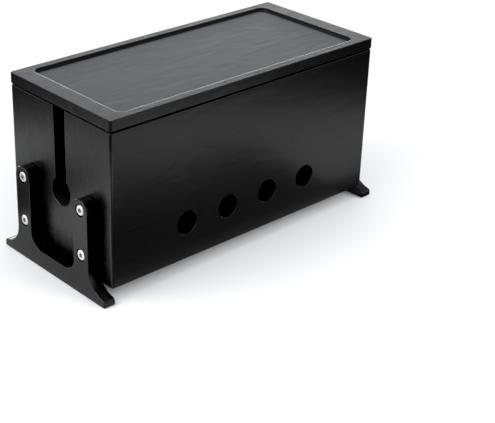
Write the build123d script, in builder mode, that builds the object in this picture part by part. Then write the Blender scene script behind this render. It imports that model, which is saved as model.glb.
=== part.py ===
from build123d import *

import os

# Cable management box: a mitred wooden box with a lift-off tray lid, on two U-shaped foot brackets.
#
# Millimetres. The origin is on the floor below the middle of the box, +X runs along its length,
# +Y to the back and +Z up. The front is -Y, the left end is -X.

# Driving dimensions: overall
LID_LENGTH = 340.0
LID_WIDTH = 152.5
OVERALL_HEIGHT = 182.0
BOARD = 12.5  # thickness of the lid, the walls and the foot brackets
UNDERSIDE_HEIGHT = 14.5  # lower edge of the walls above the floor

# Driving dimensions: lid
LID_OVERHANG = 0.3
LID_CORNER_RADIUS = 2.5
LID_TOP_EDGE = 0.6
LID_LOWER_EDGE = 2.0
TRAY_DEPTH = 2.6
TRAY_END_RIM = 18.0
TRAY_SIDE_RIM = 9.5
TRAY_CORNER_RADIUS = 8.5
TRAY_LIP_WIDTH = 0.9  # the lip is eased in a shallow slope
TRAY_LIP_DROP = 0.22
TRAY_COVE = 0.4

# Driving dimensions: cleats under the lid, which drop between the walls
CLEAT_WIDTH = 12.0
CLEAT_DEPTH = 8.0
CLEAT_CLEARANCE = 1.0
CLEAT_EDGE = 1.0
CLEAT_SCREW_PITCH = 130.0
CLEAT_SCREW_LENGTH = 14.0
CLEAT_SCREW_RADIUS = 1.75
CLEAT_SCREW_HEAD_RADIUS = 3.5
CLEAT_SCREW_RECESS_RADIUS = 0.9
CLEAT_SCREW_RECESS_DEPTH = 1.4
CLEAT_SCREW_SINK = 0.3  # screw head below the cleat's face
CLEAT_SCREW_CLEARANCE = 0.05
COUNTERSINK_ANGLE = 90.0

# Driving dimensions: walls
WALL_CORNER_RADIUS = 2.5
WALL_TOP_EDGE = 0.6
WALL_LOWER_EDGE = 0.8
OPENING_EDGE = 0.3  # eased mouths of the cable holes and the keyhole slots
SPLINE_WIDTH = 8.0
SPLINE_THICKNESS = 3.0
SPLINE_INSET = 10.5  # from the outer corner, along the mitre
SPLINE_END_MARGIN = 12.0

# Driving dimensions: floor board, held in a groove
FLOOR_THICKNESS = 6.0
FLOOR_RISE = 6.0  # its underside above the walls' lower edge
GROOVE_DEPTH = 4.0

# Driving dimensions: cable holes in the front and keyhole slots in the ends
CABLE_HOLE_RADIUS = 12.0
CABLE_HOLE_PITCH = 53.0
CABLE_HOLE_COUNT = 4
CABLE_HOLE_HEIGHT = 53.0
KEYHOLE_RADIUS = 14.25
KEYHOLE_HEIGHT = 85.5
SLOT_WIDTH = 16.5

# Driving dimensions: foot brackets
FOOT_SPAN = 160.0
FOOT_TIP_HEIGHT = 7.0
FOOT_TIP_RADIUS = 3.5
FOOT_SOLE_RADIUS = 1.5
FLARE_KNEE_HEIGHT = 12.5  # where the foot's slope meets the upright's edge before rounding
FLARE_RADIUS = 24.0
UPRIGHT_WIDTH = 22.0
UPRIGHT_SPACING = 90.0
CROSSBAR_TOP = 18.0
BRACKET_INNER_RADIUS = 15.0
BRACKET_EDGE = 0.8

# Driving dimensions: M6 button-head screws and their inserts
SCREW_UPPER_HEIGHT = 87.5
SCREW_LOWER_HEIGHT = 41.5
SCREW_HEAD_RADIUS = 5.6
SCREW_HEAD_HEIGHT = 3.3
SCREW_HEAD_CROWN_RADIUS = 4.4
SCREW_HEAD_RIM_HEIGHT = 1.2
SCREW_SHANK_RADIUS = 2.95
SCREW_LENGTH = 18.0
SCREW_TIP_CHAMFER = 0.8
SOCKET_ACROSS_FLATS = 4.0
SOCKET_DEPTH = 2.1
SOCKET_TURN_STEP = 23.0  # each screw stops at its own angle
COUNTERBORE_RADIUS = 6.2
COUNTERBORE_DEPTH = 3.5
CLEARANCE_HOLE_RADIUS = 3.3
INSERT_RADIUS = 4.25
INSERT_BORE_RADIUS = 3.0
INSERT_LENGTH = 11.0
INSERT_CHAMFER = 0.5

# Derived sizes and places
BOX_LENGTH = LID_LENGTH - 2 * LID_OVERHANG
BOX_WIDTH = LID_WIDTH - 2 * LID_OVERHANG
LID_UNDERSIDE = OVERALL_HEIGHT - BOARD
BOX_HEIGHT = LID_UNDERSIDE - UNDERSIDE_HEIGHT
INNER_LENGTH = BOX_LENGTH - 2 * BOARD
INNER_WIDTH = BOX_WIDTH - 2 * BOARD
FLOOR_UNDERSIDE = UNDERSIDE_HEIGHT + FLOOR_RISE
UPRIGHT_Y = UPRIGHT_SPACING / 2
SCREW_POINTS = {
    "front_upper": (-UPRIGHT_Y, SCREW_UPPER_HEIGHT),
    "front_lower": (-UPRIGHT_Y, SCREW_LOWER_HEIGHT),
    "back_upper": (UPRIGHT_Y, SCREW_UPPER_HEIGHT),
    "back_lower": (UPRIGHT_Y, SCREW_LOWER_HEIGHT),
}
ENDS = {"left": -1, "right": 1}
SIDES = {"front": -1, "back": 1}
FLAT_TOLERANCE = 0.01

os.makedirs("parts", exist_ok=True)


def end_plane(end, x):
    """Upright plane across the length at x, facing outward at that end, with local y up."""
    return Plane(origin=(x, 0, 0), x_dir=(0, end, 0), z_dir=(end, 0, 0))


def end_points(end):
    """Screw places in the end plane's own coordinates."""
    return [(end * y, z) for y, z in SCREW_POINTS.values()]


def on_slot_mouth(edge, end):
    """Whether an edge is one of those where a keyhole slot opens on the outside of its end wall."""
    middle = edge.position_at(0.5)
    beside_slot = SLOT_WIDTH / 2 - FLAT_TOLERANCE < abs(middle.Y) or middle.Z < KEYHOLE_HEIGHT
    within_keyhole = abs(middle.Y) < KEYHOLE_RADIUS + FLAT_TOLERANCE and middle.Z > FLOOR_UNDERSIDE
    outermost = end * middle.X > BOX_LENGTH / 2 - WALL_TOP_EDGE
    return beside_slot and within_keyhole and outermost


# ---- Wall blank: the four walls in one, with every opening, before the mitres part them ----
floor_plane = Plane.XY.offset(UNDERSIDE_HEIGHT)
front_plane = Plane(origin=(0, -BOX_WIDTH / 2, 0), x_dir=(1, 0, 0), z_dir=(0, -1, 0))
spline_height = BOX_HEIGHT - 2 * SPLINE_END_MARGIN - FLOOR_RISE
spline_base = FLOOR_UNDERSIDE + SPLINE_END_MARGIN
spline_offset = SPLINE_INSET / 2**0.5
spline_places = {
    f"{side_name}_{end_name}": Location(
        (
            end * (BOX_LENGTH / 2 - spline_offset),
            side * (BOX_WIDTH / 2 - spline_offset),
            spline_base,
        ),
        (0, 0, -45 * end * side),
    )
    for side_name, side in SIDES.items()
    for end_name, end in ENDS.items()
}

with BuildPart() as wall_blank:
    with BuildSketch(floor_plane):
        RectangleRounded(BOX_LENGTH, BOX_WIDTH, WALL_CORNER_RADIUS)
        Rectangle(INNER_LENGTH, INNER_WIDTH, mode=Mode.SUBTRACT)
    extrude(amount=BOX_HEIGHT)
    fillet(wall_blank.faces().sort_by(Axis.Z)[-1].outer_wire().edges(), WALL_TOP_EDGE)
    fillet(wall_blank.faces().sort_by(Axis.Z)[0].outer_wire().edges(), WALL_LOWER_EDGE)

    # Groove for the floor board
    with BuildSketch(Plane.XY.offset(FLOOR_UNDERSIDE)):
        Rectangle(INNER_LENGTH + 2 * GROOVE_DEPTH, INNER_WIDTH + 2 * GROOVE_DEPTH)
    extrude(amount=FLOOR_THICKNESS, mode=Mode.SUBTRACT)

    # Slots for the loose tongues in the mitres
    with Locations(*spline_places.values()):
        Box(
            SPLINE_WIDTH,
            SPLINE_THICKNESS,
            spline_height,
            align=(Align.CENTER, Align.CENTER, Align.MIN),
            mode=Mode.SUBTRACT,
        )

    # Cable holes through the front wall, with eased mouths
    with BuildSketch(front_plane):
        with Locations((0, CABLE_HOLE_HEIGHT)):
            with GridLocations(CABLE_HOLE_PITCH, 1, CABLE_HOLE_COUNT, 1):
                Circle(CABLE_HOLE_RADIUS)
    extrude(amount=-BOARD, mode=Mode.SUBTRACT)
    rings = wall_blank.edges().filter_by(GeomType.CIRCLE)
    hole_mouths = rings.filter_by(lambda ring: abs(ring.radius - CABLE_HOLE_RADIUS) < FLAT_TOLERANCE)
    chamfer(hole_mouths, OPENING_EDGE)

    # Keyhole slots, open to the top edge, through both ends
    for end in ENDS.values():
        with BuildSketch(end_plane(end, end * BOX_LENGTH / 2)):
            with Locations((0, KEYHOLE_HEIGHT)):
                Circle(KEYHOLE_RADIUS)
                Rectangle(SLOT_WIDTH, LID_UNDERSIDE - KEYHOLE_HEIGHT, align=(Align.CENTER, Align.MIN))
        extrude(amount=-BOARD, mode=Mode.SUBTRACT)
        slot_mouth = wall_blank.edges().filter_by(lambda edge: on_slot_mouth(edge, end))
        chamfer(slot_mouth, OPENING_EDGE)

    # Blind bores for the threaded inserts
    for end in ENDS.values():
        with Locations(end_plane(end, end * BOX_LENGTH / 2)):
            with Locations(*end_points(end)):
                Hole(INSERT_RADIUS, depth=INSERT_LENGTH)


def wall_wedge(across_x, sign):
    """Plan outline that keeps one wall, cut along the 45 degree mitres through both its corners."""
    reach = BOARD / 2
    far = (BOX_LENGTH if across_x else BOX_WIDTH) / 2
    span = (BOX_WIDTH if across_x else BOX_LENGTH) / 2
    outer, inner = far + reach, far - BOARD - reach
    wide, narrow = span + reach, span - BOARD - reach
    corners = [(outer, -wide), (outer, wide), (inner, narrow), (inner, -narrow)]
    if across_x:
        return [(sign * u, v) for u, v in corners]
    return [(v, sign * u) for u, v in corners]


for side_name, side in SIDES.items():
    with BuildPart() as long_wall:
        add(wall_blank.part)
        with BuildSketch():
            Polygon(*wall_wedge(False, side), align=None)
        extrude(amount=OVERALL_HEIGHT, mode=Mode.INTERSECT)
    long_wall.part.label = f"{side_name}_panel"
    export_step(long_wall.part, f"parts/{long_wall.part.label}.step")

for end_name, end in ENDS.items():
    with BuildPart() as end_wall:
        add(wall_blank.part)
        with BuildSketch():
            Polygon(*wall_wedge(True, end), align=None)
        extrude(amount=OVERALL_HEIGHT, mode=Mode.INTERSECT)
    end_wall.part.label = f"{end_name}_end_panel"
    export_step(end_wall.part, f"parts/{end_wall.part.label}.step")

# ---- Loose tongues that key the mitred corners ----
for corner_name, place in spline_places.items():
    with BuildPart() as corner_spline:
        with BuildSketch(Plane(place)):
            Rectangle(SPLINE_WIDTH, SPLINE_THICKNESS)
        extrude(amount=spline_height)
    corner_spline.part.label = f"corner_spline_{corner_name}"
    export_step(corner_spline.part, f"parts/{corner_spline.part.label}.step")

# ---- Floor board ----
with BuildPart() as bottom_panel:
    with BuildSketch(Plane.XY.offset(FLOOR_UNDERSIDE)):
        Rectangle(INNER_LENGTH + 2 * GROOVE_DEPTH, INNER_WIDTH + 2 * GROOVE_DEPTH)
    extrude(amount=FLOOR_THICKNESS)
bottom_panel.part.label = "bottom_panel"
export_step(bottom_panel.part, "parts/bottom_panel.step")

# ---- Foot brackets: a U with round-topped uprights and feet that flare to the floor ----
half_foot = [
    (0, 0),
    (FOOT_SPAN / 2, 0),
    (FOOT_SPAN / 2, FOOT_TIP_HEIGHT),
    (UPRIGHT_Y + UPRIGHT_WIDTH / 2, FLARE_KNEE_HEIGHT),
    (UPRIGHT_Y + UPRIGHT_WIDTH / 2, SCREW_UPPER_HEIGHT),
    (0, SCREW_UPPER_HEIGHT),
]
foot_roundings = {
    FLARE_KNEE_HEIGHT: FLARE_RADIUS,
    FOOT_TIP_HEIGHT: FOOT_TIP_RADIUS,
    0: FOOT_SOLE_RADIUS,
}
gap_width = UPRIGHT_SPACING - UPRIGHT_WIDTH

for end_name, end in ENDS.items():
    with BuildPart() as foot_bracket:
        with BuildSketch(end_plane(end, end * BOX_LENGTH / 2)) as bracket_outline:
            Polygon(*half_foot, align=None)
            for height, radius in foot_roundings.items():
                outer = bracket_outline.vertices().filter_by(lambda corner: corner.X > gap_width / 2)
                fillet(outer.sort_by(lambda corner: abs(corner.Y - height))[0], radius)
            mirror(about=Plane.YZ)
            with Locations((-UPRIGHT_Y, SCREW_UPPER_HEIGHT), (UPRIGHT_Y, SCREW_UPPER_HEIGHT)):
                Circle(UPRIGHT_WIDTH / 2)
            with Locations((0, CROSSBAR_TOP)):
                RectangleRounded(
                    gap_width,
                    OVERALL_HEIGHT,
                    BRACKET_INNER_RADIUS,
                    align=(Align.CENTER, Align.MIN),
                    mode=Mode.SUBTRACT,
                )
        extrude(amount=BOARD)
        bracket_faces = foot_bracket.faces().filter_by(Axis.X).sort_by(Axis.X)
        fillet(bracket_faces[0].edges() + bracket_faces[-1].edges(), BRACKET_EDGE)
        with Locations(end_plane(end, end * (BOX_LENGTH / 2 + BOARD))):
            with Locations(*end_points(end)):
                CounterBoreHole(
                    CLEARANCE_HOLE_RADIUS,
                    COUNTERBORE_RADIUS,
                    COUNTERBORE_DEPTH,
                    depth=BOARD,
                )
    foot_bracket.part.label = f"{end_name}_foot_bracket"
    export_step(foot_bracket.part, f"parts/{foot_bracket.part.label}.step")

# ---- Bracket screws and the threaded inserts in the end walls ----
screw_seat = BOX_LENGTH / 2 + BOARD - COUNTERBORE_DEPTH

for end_name, end in ENDS.items():
    seat_plane = end_plane(end, end * screw_seat)
    for index, (screw_name, (y, z)) in enumerate(SCREW_POINTS.items()):
        axis_plane = Plane(
            origin=(end * screw_seat, y, z),
            x_dir=seat_plane.x_dir.rotate(Axis.X, index * SOCKET_TURN_STEP),
            z_dir=seat_plane.z_dir,
        )
        half_section = Plane(axis_plane.origin, x_dir=axis_plane.x_dir, z_dir=-axis_plane.y_dir)
        head_top = axis_plane.offset(SCREW_HEAD_HEIGHT)
        with BuildPart() as bracket_screw:
            with BuildSketch(half_section):
                with BuildLine():
                    shank_end = -SCREW_LENGTH
                    outline = Polyline(
                        (0, SCREW_HEAD_HEIGHT),
                        (0, shank_end),
                        (SCREW_SHANK_RADIUS - SCREW_TIP_CHAMFER, shank_end),
                        (SCREW_SHANK_RADIUS, shank_end + SCREW_TIP_CHAMFER),
                        (SCREW_SHANK_RADIUS, 0),
                        (SCREW_HEAD_RADIUS, 0),
                        (SCREW_HEAD_RADIUS, SCREW_HEAD_RIM_HEIGHT),
                    )
                    crown = (SCREW_HEAD_CROWN_RADIUS, SCREW_HEAD_HEIGHT)
                    TangentArc(outline @ 1, crown, tangent=outline % 1)
                    Line(crown, outline @ 0)
                make_face()
            revolve(axis=Axis(axis_plane.origin, axis_plane.z_dir))
            with BuildSketch(head_top):
                RegularPolygon(SOCKET_ACROSS_FLATS / 2, 6, major_radius=False)
            extrude(amount=-SOCKET_DEPTH, mode=Mode.SUBTRACT)
        bracket_screw.part.label = f"{end_name}_screw_{screw_name}"
        export_step(bracket_screw.part, f"parts/{bracket_screw.part.label}.step")

    with BuildPart() as threaded_inserts:
        with BuildSketch(end_plane(end, end * BOX_LENGTH / 2)):
            with Locations(*end_points(end)):
                Circle(INSERT_RADIUS)
                Circle(INSERT_BORE_RADIUS, mode=Mode.SUBTRACT)
        extrude(amount=-INSERT_LENGTH)
        rims = threaded_inserts.edges().filter_by(GeomType.CIRCLE)
        outer_rims = rims.filter_by(lambda edge: abs(edge.radius - INSERT_RADIUS) < FLAT_TOLERANCE)
        chamfer(outer_rims, INSERT_CHAMFER)
    threaded_inserts.part.label = f"{end_name}_threaded_inserts"
    export_step(threaded_inserts.part, f"parts/{threaded_inserts.part.label}.step")

# ---- Lid: one board with a routed tray ----
cleat_y = INNER_WIDTH / 2 - CLEAT_CLEARANCE - CLEAT_WIDTH / 2
cleat_length = INNER_LENGTH - 2 * CLEAT_CLEARANCE
cleat_face = LID_UNDERSIDE - CLEAT_DEPTH
cleat_screw_xs = [-CLEAT_SCREW_PITCH, 0, CLEAT_SCREW_PITCH]
pilot_depth = CLEAT_SCREW_LENGTH + CLEAT_SCREW_SINK - CLEAT_DEPTH
tray_length = LID_LENGTH - 2 * TRAY_END_RIM
tray_width = LID_WIDTH - 2 * TRAY_SIDE_RIM

with BuildPart() as lid:
    with BuildSketch(Plane.XY.offset(LID_UNDERSIDE)):
        RectangleRounded(LID_LENGTH, LID_WIDTH, LID_CORNER_RADIUS)
    extrude(amount=BOARD)
    chamfer(lid.faces().sort_by(Axis.Z)[0].edges(), LID_LOWER_EDGE)
    fillet(lid.faces().sort_by(Axis.Z)[-1].edges(), LID_TOP_EDGE)
    with BuildSketch(Plane.XY.offset(OVERALL_HEIGHT)):
        RectangleRounded(tray_length, tray_width, TRAY_CORNER_RADIUS)
    extrude(amount=-TRAY_DEPTH, mode=Mode.SUBTRACT)
    tray_floor = lid.faces().filter_by(Axis.Z).sort_by(Axis.Z)[-2]
    fillet(tray_floor.edges(), TRAY_COVE)
    rim = lid.faces().sort_by(Axis.Z)[-1]
    chamfer(rim.inner_wires()[0].edges(), TRAY_LIP_WIDTH, TRAY_LIP_DROP, reference=rim)
    with Locations(Plane(origin=(0, 0, LID_UNDERSIDE), z_dir=(0, 0, -1))):
        with GridLocations(CLEAT_SCREW_PITCH, 2 * cleat_y, len(cleat_screw_xs), 2):
            Hole(CLEAT_SCREW_RADIUS + CLEAT_SCREW_CLEARANCE, depth=pilot_depth)
lid.part.label = "lid"
export_step(lid.part, "parts/lid.step")

# ---- Cleats under the lid and their countersunk screws ----
for side_name, side in SIDES.items():
    with BuildPart() as lid_cleat:
        with BuildSketch(Plane(origin=(0, side * cleat_y, LID_UNDERSIDE), z_dir=(0, 0, -1))):
            Rectangle(cleat_length, CLEAT_WIDTH)
        extrude(amount=CLEAT_DEPTH)
        chamfer(lid_cleat.faces().sort_by(Axis.Z)[0].edges(), CLEAT_EDGE)
        with Locations(Plane(origin=(0, side * cleat_y, cleat_face), z_dir=(0, 0, -1))):
            with GridLocations(CLEAT_SCREW_PITCH, 1, len(cleat_screw_xs), 1):
                CounterSinkHole(
                    CLEAT_SCREW_RADIUS + CLEAT_SCREW_CLEARANCE,
                    CLEAT_SCREW_HEAD_RADIUS + CLEAT_SCREW_SINK,
                    depth=CLEAT_DEPTH,
                    counter_sink_angle=COUNTERSINK_ANGLE,
                )
    lid_cleat.part.label = f"lid_cleat_{side_name}"
    export_step(lid_cleat.part, f"parts/{lid_cleat.part.label}.step")

    with BuildPart() as cleat_screws:
        for x in cleat_screw_xs:
            head_centre = (x, side * cleat_y, cleat_face + CLEAT_SCREW_SINK)
            with BuildSketch(Plane(origin=head_centre, x_dir=(1, 0, 0), z_dir=(0, -1, 0))):
                cone_height = CLEAT_SCREW_HEAD_RADIUS - CLEAT_SCREW_RADIUS
                Polygon(
                    (0, 0),
                    (CLEAT_SCREW_HEAD_RADIUS, 0),
                    (CLEAT_SCREW_RADIUS, cone_height),
                    (CLEAT_SCREW_RADIUS, CLEAT_SCREW_LENGTH - 2 * CLEAT_SCREW_RADIUS),
                    (0, CLEAT_SCREW_LENGTH),
                    align=None,
                )
            revolve(axis=Axis(head_centre, (0, 0, 1)))
            with BuildSketch(Plane(origin=head_centre)):
                Rectangle(2 * CLEAT_SCREW_RECESS_DEPTH, CLEAT_SCREW_RECESS_RADIUS)
                Rectangle(CLEAT_SCREW_RECESS_RADIUS, 2 * CLEAT_SCREW_RECESS_DEPTH)
            extrude(amount=CLEAT_SCREW_RECESS_DEPTH, mode=Mode.SUBTRACT)
    cleat_screws.part.label = f"{side_name}_cleat_screws"
    export_step(cleat_screws.part, f"parts/{cleat_screws.part.label}.step")
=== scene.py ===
import math

import bpy
from mathutils import Matrix, Vector


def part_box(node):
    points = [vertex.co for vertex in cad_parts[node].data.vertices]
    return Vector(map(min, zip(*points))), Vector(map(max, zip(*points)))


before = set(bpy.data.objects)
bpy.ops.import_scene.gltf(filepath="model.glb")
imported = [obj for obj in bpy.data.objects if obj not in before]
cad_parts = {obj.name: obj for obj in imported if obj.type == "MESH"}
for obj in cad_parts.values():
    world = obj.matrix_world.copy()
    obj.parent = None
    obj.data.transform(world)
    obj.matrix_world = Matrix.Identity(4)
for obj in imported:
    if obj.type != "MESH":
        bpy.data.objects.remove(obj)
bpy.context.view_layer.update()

# The cable management box in its black stain, in the photograph's plain white studio. Each node of the
# frame keeps its shape and gets a procedural material. Lengths are in metres.

# The photograph's frame, in pixels, and the camera that saw it
IMAGE_WIDTH = 495
IMAGE_HEIGHT = 423
PRINCIPAL_POINT = (197.0, 175.0)
FOCAL_PIXELS = 1237.1
SENSOR_WIDTH = 36.0
CAMERA_PLACE = (-0.7666, -0.8472, 0.6020)
CAMERA_YAW = math.radians(42.16)
CAMERA_PITCH = math.radians(25.77)
CAMERA_ROLL = math.radians(1.12)
# Takes the render's darkest tones down to the photograph's
BLACK_LEVEL = 0.005

STAIN = (1.0, 1.0, 1.03)
STAIN_DARK = 0.0008
STAIN_LIGHT = 0.0024
# The lighter stain of the eased edges: wear, and also a painted highlight along them
STAIN_WORN_AND_HIGHLIGHT = 0.004
# How far below a board's outer face its grit ends, its eased edge begins and ends, and its cut faces
# begin. Each change is spread over a short way.
GRIT_ENDS = (0.00002, 0.00006)
EDGE_BEGINS = (0.00002, 0.00008)
EDGE_ENDS = (0.0004, 0.0008)
CUT_BEGINS = (0.0008, 0.0012)
BOARD_RELIEF = 0.0003
EDGE_RELIEF = 0.2  # of the relief of the face
GRIT_PER_METRE = 600.0
# The grain wanders this far aside, so many times to the metre
GRAIN_WANDER = 0.006
WANDERS_PER_METRE = 9.0
# Each board takes another part of the noise, this far on
NEXT_BOARD = 1.7

SCRATCHES_PER_METRE = 900.0
PATCHES_PER_METRE = 160.0
TONGUE_LINES_PER_METRE = 900.0
TONGUE_LINE_LENGTH = 36.0  # times its width

SOCKET_RADIUS = 0.0021
SOCKET_RIM = 0.0003

FLOOR_CENTRE = (-0.0225, 0.0025, 0.0)
FLOOR_RADIUS = 0.405
FLOOR_FADE = 0.08
FLOOR_SIDE = 2.0

# The black cards round the box, seen only in reflections: painted dark reflections in the lacquer,
# which stand in for the sleeve and the ties and for shade by the brackets and the right foot. Each card
# has two opposite corners, how black it is, and how far in from its edges it fades out
PAINTED_REFLECTION_CARDS = {
    "front_flag": ((-0.21, -0.28, 0.002), (0.19, -0.075, 0.002), 0.90, 0.03),
    "foot_flag": ((0.155, -0.12, 0.001), (0.25, -0.07, 0.001), 0.90, 0.006),
    "sleeve_flag": ((-0.22, -0.28, 0.003), (-0.04, -0.14, 0.003), 0.50, 0.03),
    "ties_flag": ((-0.05, -0.32, 0.003), (0.055, -0.22, 0.003), 0.75, 0.03),
    "corner_flag": ((-0.37, -0.30, 0.002), (-0.175, -0.085, 0.002), 0.88, 0.03),
    "right_flag": ((0.17, -0.32, 0.002), (0.34, -0.08, 0.002), 0.30, 0.03),
    "left_flag": ((-0.345, 0.10, 0.002), (-0.195, 0.235, 0.002), 0.92, 0.03),
    "bracket_flag": ((-0.24, -0.12, 0.001), (-0.175, 0.12, 0.001), 0.33, 0.02),
    "crossbar_flag": ((-0.176, -0.05, 0.002), (-0.176, 0.05, 0.039), 0.70, 0.018),
}


# ---- Node helpers ----
class Nodes:
    """A node tree, with short calls to add and join its nodes."""

    def __init__(self, tree):
        self.tree = tree

    def node(self, kind, **settings):
        made = self.tree.nodes.new(kind)
        for key, value in settings.items():
            setattr(made, key, value)
        return made

    def feed(self, socket, value):
        """Gives a socket another node's output, or a plain value."""
        if isinstance(value, bpy.types.NodeSocket):
            self.tree.links.new(value, socket)
        else:
            socket.default_value = value

    def place(self, kind="Object"):
        """Where a point is on its object, or, with "Generated", a ray's direction in the surround."""
        return self.node("ShaderNodeTexCoord").outputs[kind]

    def split(self, vector):
        made = self.node("ShaderNodeSeparateXYZ")
        self.feed(made.inputs[0], vector)
        return list(made.outputs)

    def vector(self, x, y, z):
        made = self.node("ShaderNodeCombineXYZ")
        for socket, value in zip(made.inputs, (x, y, z)):
            self.feed(socket, value)
        return made.outputs[0]

    def length(self, vector):
        made = self.node("ShaderNodeVectorMath", operation="LENGTH")
        self.feed(made.inputs[0], vector)
        return made.outputs["Value"]

    def dot(self, vector, direction):
        made = self.node("ShaderNodeVectorMath", operation="DOT_PRODUCT")
        self.feed(made.inputs[0], vector)
        self.feed(made.inputs[1], direction)
        return made.outputs["Value"]

    def math(self, operation, *values):
        made = self.node("ShaderNodeMath", operation=operation)
        for socket, value in zip(made.inputs, values):
            self.feed(socket, value)
        return made.outputs[0]

    def weighted(self, *terms, start=0.0):
        """The sum of values, each times its weight."""
        total = start
        for value, weight in terms:
            total = self.math("MULTIPLY_ADD", value, weight, total)
        return total

    def spread(self, value, limits, results):
        """Takes a value between two limits to the matching place between two results, and keeps a
        value beyond them at the nearer result."""
        made = self.node("ShaderNodeMapRange")
        for socket, given in zip(made.inputs, (value, *limits, *results)):
            self.feed(socket, given)
        return made.outputs[0]

    def noise(self, vector, scale=1.0, detail=2.0, roughness=0.5, distortion=0.0):
        made = self.node("ShaderNodeTexNoise")
        self.feed(made.inputs["Vector"], vector)
        self.feed(made.inputs["Scale"], scale)
        self.feed(made.inputs["Detail"], detail)
        self.feed(made.inputs["Roughness"], roughness)
        self.feed(made.inputs["Distortion"], distortion)
        return made.outputs[0]

    def mix(self, factor, first, second):
        made = self.node("ShaderNodeMix", data_type="RGBA")
        self.feed(made.inputs["Factor"], factor)
        self.feed(made.inputs["A"], first)
        self.feed(made.inputs["B"], second)
        return made.outputs["Result"]


class Look(Nodes):
    """A material, made of nodes that feed its one shader."""

    def __init__(self, name):
        self.material = bpy.data.materials.new(name)
        self.material.use_nodes = True
        super().__init__(self.material.node_tree)
        self.shader = self.tree.nodes["Principled BSDF"]

    def set(self, **values):
        """Feeds the shader. A socket's name is given with _ for each space."""
        for name, value in values.items():
            self.feed(self.shader.inputs[name.replace("_", " ")], value)

    def bump(self, height, distance, strength=1.0):
        """Relief, laid over any that is there already."""
        made = self.node("ShaderNodeBump")
        self.feed(made.inputs["Height"], height)
        self.feed(made.inputs["Distance"], distance)
        self.feed(made.inputs["Strength"], strength)
        normal = self.shader.inputs["Normal"]
        if normal.is_linked:
            self.feed(made.inputs["Normal"], normal.links[0].from_socket)
        self.feed(normal, made.outputs["Normal"])


def color(tint, brightness=1.0):
    return (*(channel * brightness for channel in tint), 1.0)


# ---- Materials ----
def below_face(look, place, piece, face):
    """How far a place is below a piece's outer face, such as "+Z" or "-Y"."""
    outward = -1.0 if face[0] == "-" else 1.0
    axis = "XYZ".index(face[1])
    surface = max(outward * corner[axis] for corner in piece.bound_box)
    return look.math("MULTIPLY_ADD", place[axis], -outward, surface)


def wood(
    name, piece, offset, *, grain, face, roughness, banding, fineness, swirl,
    mottle=1.0, cut=0.0, specular=0.5, grit=0.0,
):
    """Stained wood under a satin lacquer. Its grain runs along an axis ("X" or "Z"). The eased edges
    round its outer face are smoother than the face, and lighter in patches: wear, and also a painted
    highlight along the edges. Its cut faces, like the walls of its holes, can be duller. The relief is
    made of long bands, a fine figure and soft swirls, and of grit in the lacquer of the outermost face.
    The mottle says how much the stain and the gloss vary."""
    look = Look(name)
    place = look.split(look.place())
    sunk = below_face(look, place, piece, face)
    along = place.pop("XYZ".index(grain))
    across, depth = place
    wander = look.noise(look.vector(look.math("MULTIPLY", along, WANDERS_PER_METRE), across, offset))
    across = look.math("MULTIPLY_ADD", wander, GRAIN_WANDER, across)

    def streaks(per_length, per_width, detail, roughness=0.5, distortion=0.0):
        """Noise drawn out along the grain, with its waves to the metre along it and across it."""
        drawn_out = look.vector(
            look.math("MULTIPLY_ADD", along, per_length, offset),
            look.math("MULTIPLY", across, per_width),
            look.math("MULTIPLY", depth, per_width),
        )
        return look.noise(drawn_out, detail=detail, roughness=roughness, distortion=distortion)

    clouds = streaks(22.0, 52.0, detail=1.5, distortion=0.9)
    bands = streaks(4.0, 90.0, detail=3.0)
    figure = streaks(14.0, 330.0, detail=3.0, roughness=0.6)
    fibre = streaks(60.0, 1500.0, detail=2.0)
    pores = look.spread(streaks(140.0, 1900.0, detail=1.0), (0.60, 0.74), (0.0, 1.0))
    patches = look.spread(streaks(60.0, 200.0, detail=2.0), (0.3, 0.7), (0.6, 1.0))
    edge = look.math(
        "MULTIPLY", look.spread(sunk, EDGE_BEGINS, (0.0, 1.0)), look.spread(sunk, EDGE_ENDS, (1.0, 0.0))
    )
    # Lighter, glossier eased edges in patches: wear, and also a painted highlight along them
    wear_and_highlight = look.math("MULTIPLY", edge, patches)

    tone = look.weighted((bands, 0.35), (figure, 0.45), (fibre, 0.35), (pores, -0.12))
    tone = look.spread(tone, (0.32, 0.78), (0.5 - 0.5 * mottle, 0.5 + 0.5 * mottle))
    stain = look.mix(tone, color(STAIN, STAIN_DARK), color(STAIN, STAIN_LIGHT))
    uneven = 0.06 * mottle
    duller = look.spread(sunk, CUT_BEGINS, (0.0, cut))
    gloss = look.weighted(
        (figure, uneven), (fibre, uneven), (duller, 1.0), (pores, 0.5 * uneven), (wear_and_highlight, -0.12),
        start=roughness - uneven,
    )
    # The eased edges take the lighter stain, as wear and as a painted highlight
    look.set(
        Base_Color=look.mix(wear_and_highlight, stain, color(STAIN, STAIN_WORN_AND_HIGHLIGHT)),
        Roughness=gloss,
        Specular_IOR_Level=specular,
    )

    fine = look.weighted((fibre, 0.05), (figure, 0.12), (pores, -0.02))
    relief = look.weighted((bands, banding), (fine, fineness), (clouds, swirl))
    look.bump(relief, BOARD_RELIEF, look.spread(edge, (0.0, 1.0), (1.0, EDGE_RELIEF)))
    if grit:
        grains = look.noise(look.vector(along, across, depth), GRIT_PER_METRE, detail=1.0)
        outermost = look.spread(sunk, GRIT_ENDS, (1.0, 0.0))
        look.bump(look.math("MULTIPLY", grains, grit), BOARD_RELIEF, outermost)
    return look.material


def bare_wood(name):
    """Pale bare wood with upright grain."""
    look = Look(name)
    x, y, z = look.split(look.place())
    drawn_out = look.vector(x, y, look.math("DIVIDE", z, TONGUE_LINE_LENGTH))
    lines = look.noise(drawn_out, TONGUE_LINES_PER_METRE, detail=3.0, roughness=0.6)
    look.set(
        Base_Color=look.mix(lines, color((0.42, 0.29, 0.17)), color((0.66, 0.50, 0.33))),
        Roughness=look.weighted((lines, 0.2), start=0.5),
    )
    look.bump(lines, 0.00005)
    return look.material


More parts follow.
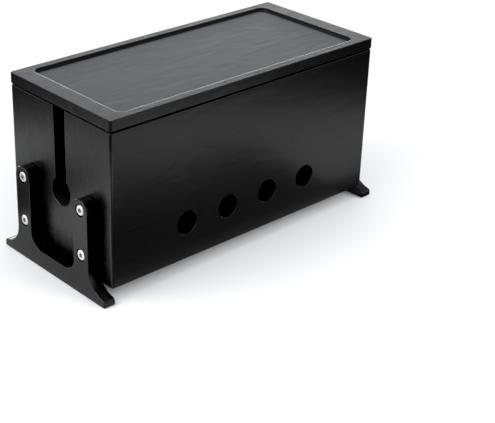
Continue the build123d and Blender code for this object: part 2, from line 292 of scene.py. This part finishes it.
def from_screw_axis(look, place):
    """How far a place is from the axis of the nearest bracket screw. The screws are in two rows, with
    one at each side of the middle."""
    upper, lower = (sum(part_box("left_screw_back_" + row), Vector()) / 2 for row in ("upper", "lower"))
    _, y, z = look.split(place)
    aside = look.math("SUBTRACT", look.math("ABSOLUTE", y), upper.y)
    above = look.math("ABSOLUTE", look.math("SUBTRACT", z, (upper.z + lower.z) / 2))
    above = look.math("SUBTRACT", above, (upper.z - lower.z) / 2)
    return look.length(look.vector(aside, above, 0.0))


def metal(name, tint, roughness, relief, sockets=False):
    """Plated metal with fine scratches and slightly uneven gloss, duller inside the hex sockets, where
    its colour is darkened as painted shade.
    """
    look = Look(name)
    place = look.place()
    scratches = look.noise(place, SCRATCHES_PER_METRE, detail=3.0, roughness=0.6)
    patches = look.noise(place, PATCHES_PER_METRE)
    bright = look.mix(patches, color(tint, 0.82), color(tint))
    gloss = look.weighted((scratches, 0.16), start=roughness - 0.08)
    if sockets:
        # Painted shade: the colour is darkened inside each hex socket
        rim = (SOCKET_RADIUS, SOCKET_RADIUS + SOCKET_RIM)
        inside = look.spread(from_screw_axis(look, place), rim, (1.0, 0.0))
        bright = look.mix(inside, bright, color(tint, 0.4))
        gloss = look.weighted((inside, 0.2), start=gloss)
    look.set(Base_Color=bright, Metallic=1.0, Roughness=gloss)
    look.bump(scratches, relief)
    return look.material


# What the boards share, and then each wooden node's own values
LONG_WALL = dict(grain="X", roughness=0.28, cut=0.35, banding=0.15, fineness=0.12, mottle=0.4)
END_WALL = dict(grain="Z", roughness=0.27, cut=0.35, banding=0.4, fineness=0.15, swirl=0.4, mottle=0.6)
BRACKET = dict(grain="Z", roughness=0.22, specular=0.38, banding=0.5, fineness=0.4, swirl=0.3)
HIDDEN = dict(grain="X", face="-Z", banding=0.9, fineness=1.0, swirl=0.5)
BOARDS = {
    "lid": dict(grain="X", face="+Z", roughness=0.30, banding=0.5, fineness=0.5, swirl=1.3, grit=0.9),
    "front_panel": dict(LONG_WALL, face="-Y", swirl=0.7),
    "back_panel": dict(LONG_WALL, face="+Y", swirl=0.5),
    "left_end_panel": dict(END_WALL, face="-X"),
    "right_end_panel": dict(END_WALL, face="+X"),
    "left_foot_bracket": dict(BRACKET, face="-X"),
    "right_foot_bracket": dict(BRACKET, face="+X"),
    "bottom_panel": dict(HIDDEN, roughness=0.55),
    "lid_cleat_front": dict(HIDDEN, roughness=0.50),
    "lid_cleat_back": dict(HIDDEN, roughness=0.50),
}
# The other nodes' materials, by a part of the node's name
FITTINGS = {
    "corner_spline": bare_wood("beech_tongue"),
    "cleat_screws": metal("zinc_steel", (0.62, 0.62, 0.60), 0.35, relief=0.00002),
    "threaded_inserts": metal("turned_brass", (0.78, 0.60, 0.28), 0.30, relief=0.00002),
    "_screw_": metal("bright_steel", (0.95, 0.95, 0.94), 0.45, relief=0.00001, sockets=True),
}


def dress():
    """Gives every node of the frame its material."""
    for index, (name, piece) in enumerate(sorted(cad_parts.items())):
        piece.data.materials.clear()
        if name in BOARDS:
            material = wood("stained_" + name, piece, NEXT_BOARD * index, **BOARDS[name])
        else:
            material = next(FITTINGS[part] for part in FITTINGS if part in name)
        piece.data.materials.append(material)


# ---- Floor, cards, lights and camera ----
def add(name, data):
    made = bpy.data.objects.new(name, data)
    bpy.context.scene.collection.objects.link(made)
    return made


def studio_plane(name, corners, material):
    """A flat four-cornered piece of the studio, which isn't part of the object."""
    mesh = bpy.data.meshes.new(name)
    mesh.from_pydata(corners, [], [(0, 1, 2, 3)])
    mesh.materials.append(material)
    made = add(name, mesh)
    return made


def floor():
    """A pale round floor, whose rim fades into the surround."""
    look = Look("pale_floor")
    rim = (FLOOR_RADIUS, FLOOR_RADIUS + FLOOR_FADE)
    look.set(
        Base_Color=color((0.94, 0.94, 0.94)),
        Roughness=0.7,
        Specular_IOR_Level=0.1,
        Alpha=look.spread(look.length(look.place()), rim, (1.0, 0.0)),
    )
    half = FLOOR_SIDE / 2
    corners = [(-half, -half, 0.0), (half, -half, 0.0), (half, half, 0.0), (-half, half, 0.0)]
    studio_plane("floor", corners, look.material).location = FLOOR_CENTRE


def painted_reflection_card(name, low, high, cover, fade):
    """A black card by the box, upright or flat, seen only in reflections, so that the lacquer looks
    dark: it paints dark reflections, and by the brackets and the foot painted shade, into the lacquer."""
    first, second = (axis for axis in range(3) if low[axis] != high[axis])
    corners = [Vector(low) for _ in range(4)]
    corners[1][first] = corners[2][first] = high[first]
    corners[2][second] = corners[3][second] = high[second]
    look = Look(name)
    place = look.split(look.place())
    alpha = cover
    for axis in (first, second):
        for rim in ((low[axis], low[axis] + fade), (high[axis], high[axis] - fade)):
            alpha = look.math("MULTIPLY", alpha, look.spread(place[axis], rim, (0.0, 1.0)))
    look.set(Base_Color=color((0.01, 0.01, 0.01)), Roughness=0.8, Alpha=alpha)
    card = studio_plane(name, corners, look.material)
    for kind in ("camera", "diffuse", "transmission", "volume_scatter", "shadow"):
        setattr(card, "visible_" + kind, False)


def softbox(name, place, aim, width, height, power, mirrored=True):
    """A soft area light that faces a point. It can be left out of reflections."""
    data = bpy.data.lights.new(name, "AREA")
    data.shape = "RECTANGLE"
    data.size = width
    data.size_y = height
    data.energy = power
    lamp = add(name, data)
    lamp.location = place
    lamp.rotation_euler = (Vector(aim) - Vector(place)).to_track_quat("-Z", "Y").to_euler()
    lamp.visible_camera = False
    lamp.visible_glossy = mirrored


def surround(seen, front, back, horizon, below):
    """A white surround for the camera. It lights the scene like a slightly cool tent, brighter in
    front than at the back, with a bright low strip and a glow along the back, and hardly any light
    from below its hem, which is lower at the back. High at its right are two dim patches, one of them
    in reflections alone. Heights are sines of the angle above the horizon."""
    world = bpy.data.worlds.new("surround")
    world.use_nodes = True
    nodes = Nodes(world.node_tree)
    ray = nodes.place("Generated")
    height = nodes.split(ray)[2]
    path = nodes.node("ShaderNodeLightPath").outputs

    def patch(direction, edge, core, outside, inside):
        """One value inside a round patch, and another outside it. The patch fades in between the
        cosines of two angles from its middle."""
        return nodes.spread(nodes.dot(ray, direction), (edge, core), (outside, inside))

    wall = nodes.spread(height, (0.16, 0.38), (0.5 * back, back))
    glow = patch((0.64, 0.69, 0.345), edge=0.95, core=0.995, outside=0.0, inside=0.5)
    rear = nodes.spread(height, (0.05, 0.11), (horizon, nodes.math("ADD", wall, glow)))
    shaded = patch((0.61, -0.29, 0.74), edge=0.85, core=0.97, outside=front, inside=0.3 * front)
    toward_back = nodes.dot(ray, (0.62, 0.78, 0.0))
    tent = nodes.spread(toward_back, (-0.2, 0.8), (shaded, rear))
    dim = patch((0.63, 0.374, 0.688), edge=0.94, core=0.985, outside=1.0, inside=0.4)
    tent = nodes.math("MULTIPLY", tent, nodes.spread(path["Is Glossy Ray"], (0.0, 1.0), (1.0, dim)))
    hem = [nodes.spread(toward_back, (0.3, 0.8), ends) for ends in ((-0.06, -0.18), (0.02, -0.10))]
    given = nodes.spread(height, hem, (below, tent))

    background = nodes.tree.nodes["Background"]
    camera_sees = path["Is Camera Ray"]
    nodes.feed(background.inputs["Strength"], nodes.spread(camera_sees, (0.0, 1.0), (given, seen)))
    tint = nodes.mix(camera_sees, color((0.98, 0.995, 1.03)), color((1.0, 1.0, 1.0)))
    nodes.feed(background.inputs["Color"], tint)
    bpy.context.scene.world = world


def camera():
    """The camera that saw the photograph. Its shift moves the centre of projection off the middle of
    the frame, where the photograph has it."""
    data = bpy.data.cameras.new("camera")
    data.sensor_width = SENSOR_WIDTH
    data.lens = FOCAL_PIXELS * SENSOR_WIDTH / IMAGE_WIDTH
    data.shift_x = (IMAGE_WIDTH / 2 - PRINCIPAL_POINT[0]) / IMAGE_WIDTH
    data.shift_y = (PRINCIPAL_POINT[1] - IMAGE_HEIGHT / 2) / IMAGE_WIDTH
    eye = add("camera", data)
    turn = Matrix.Rotation(-CAMERA_YAW, 4, "Z") @ Matrix.Rotation(math.pi / 2 - CAMERA_PITCH, 4, "X")
    eye.matrix_world = Matrix.Translation(CAMERA_PLACE) @ turn @ Matrix.Rotation(CAMERA_ROLL, 4, "Z")
    bpy.context.scene.camera = eye


dress()
floor()
# Painted dark reflections and shade in the lacquer
for flag_name, flag_shape in PAINTED_REFLECTION_CARDS.items():
    painted_reflection_card(flag_name, *flag_shape)
softbox("left_softbox", (-1.6, 0.4, 1.2), aim=(0.0, 0.0, 0.1), width=1.4, height=1.4, power=20.0)
softbox(
    "front_softbox", (0.9, -1.4, 1.0), aim=(0.0, -0.15, 0.0), width=1.4, height=1.0, power=17.5,
    mirrored=False,
)
surround(seen=1.0, front=1.0, back=0.77, horizon=7.0, below=0.05)
camera()
view = bpy.context.scene.view_settings
view.view_transform = "Standard"
view.use_curve_mapping = True
view.curve_mapping.black_level = (BLACK_LEVEL, BLACK_LEVEL, BLACK_LEVEL)
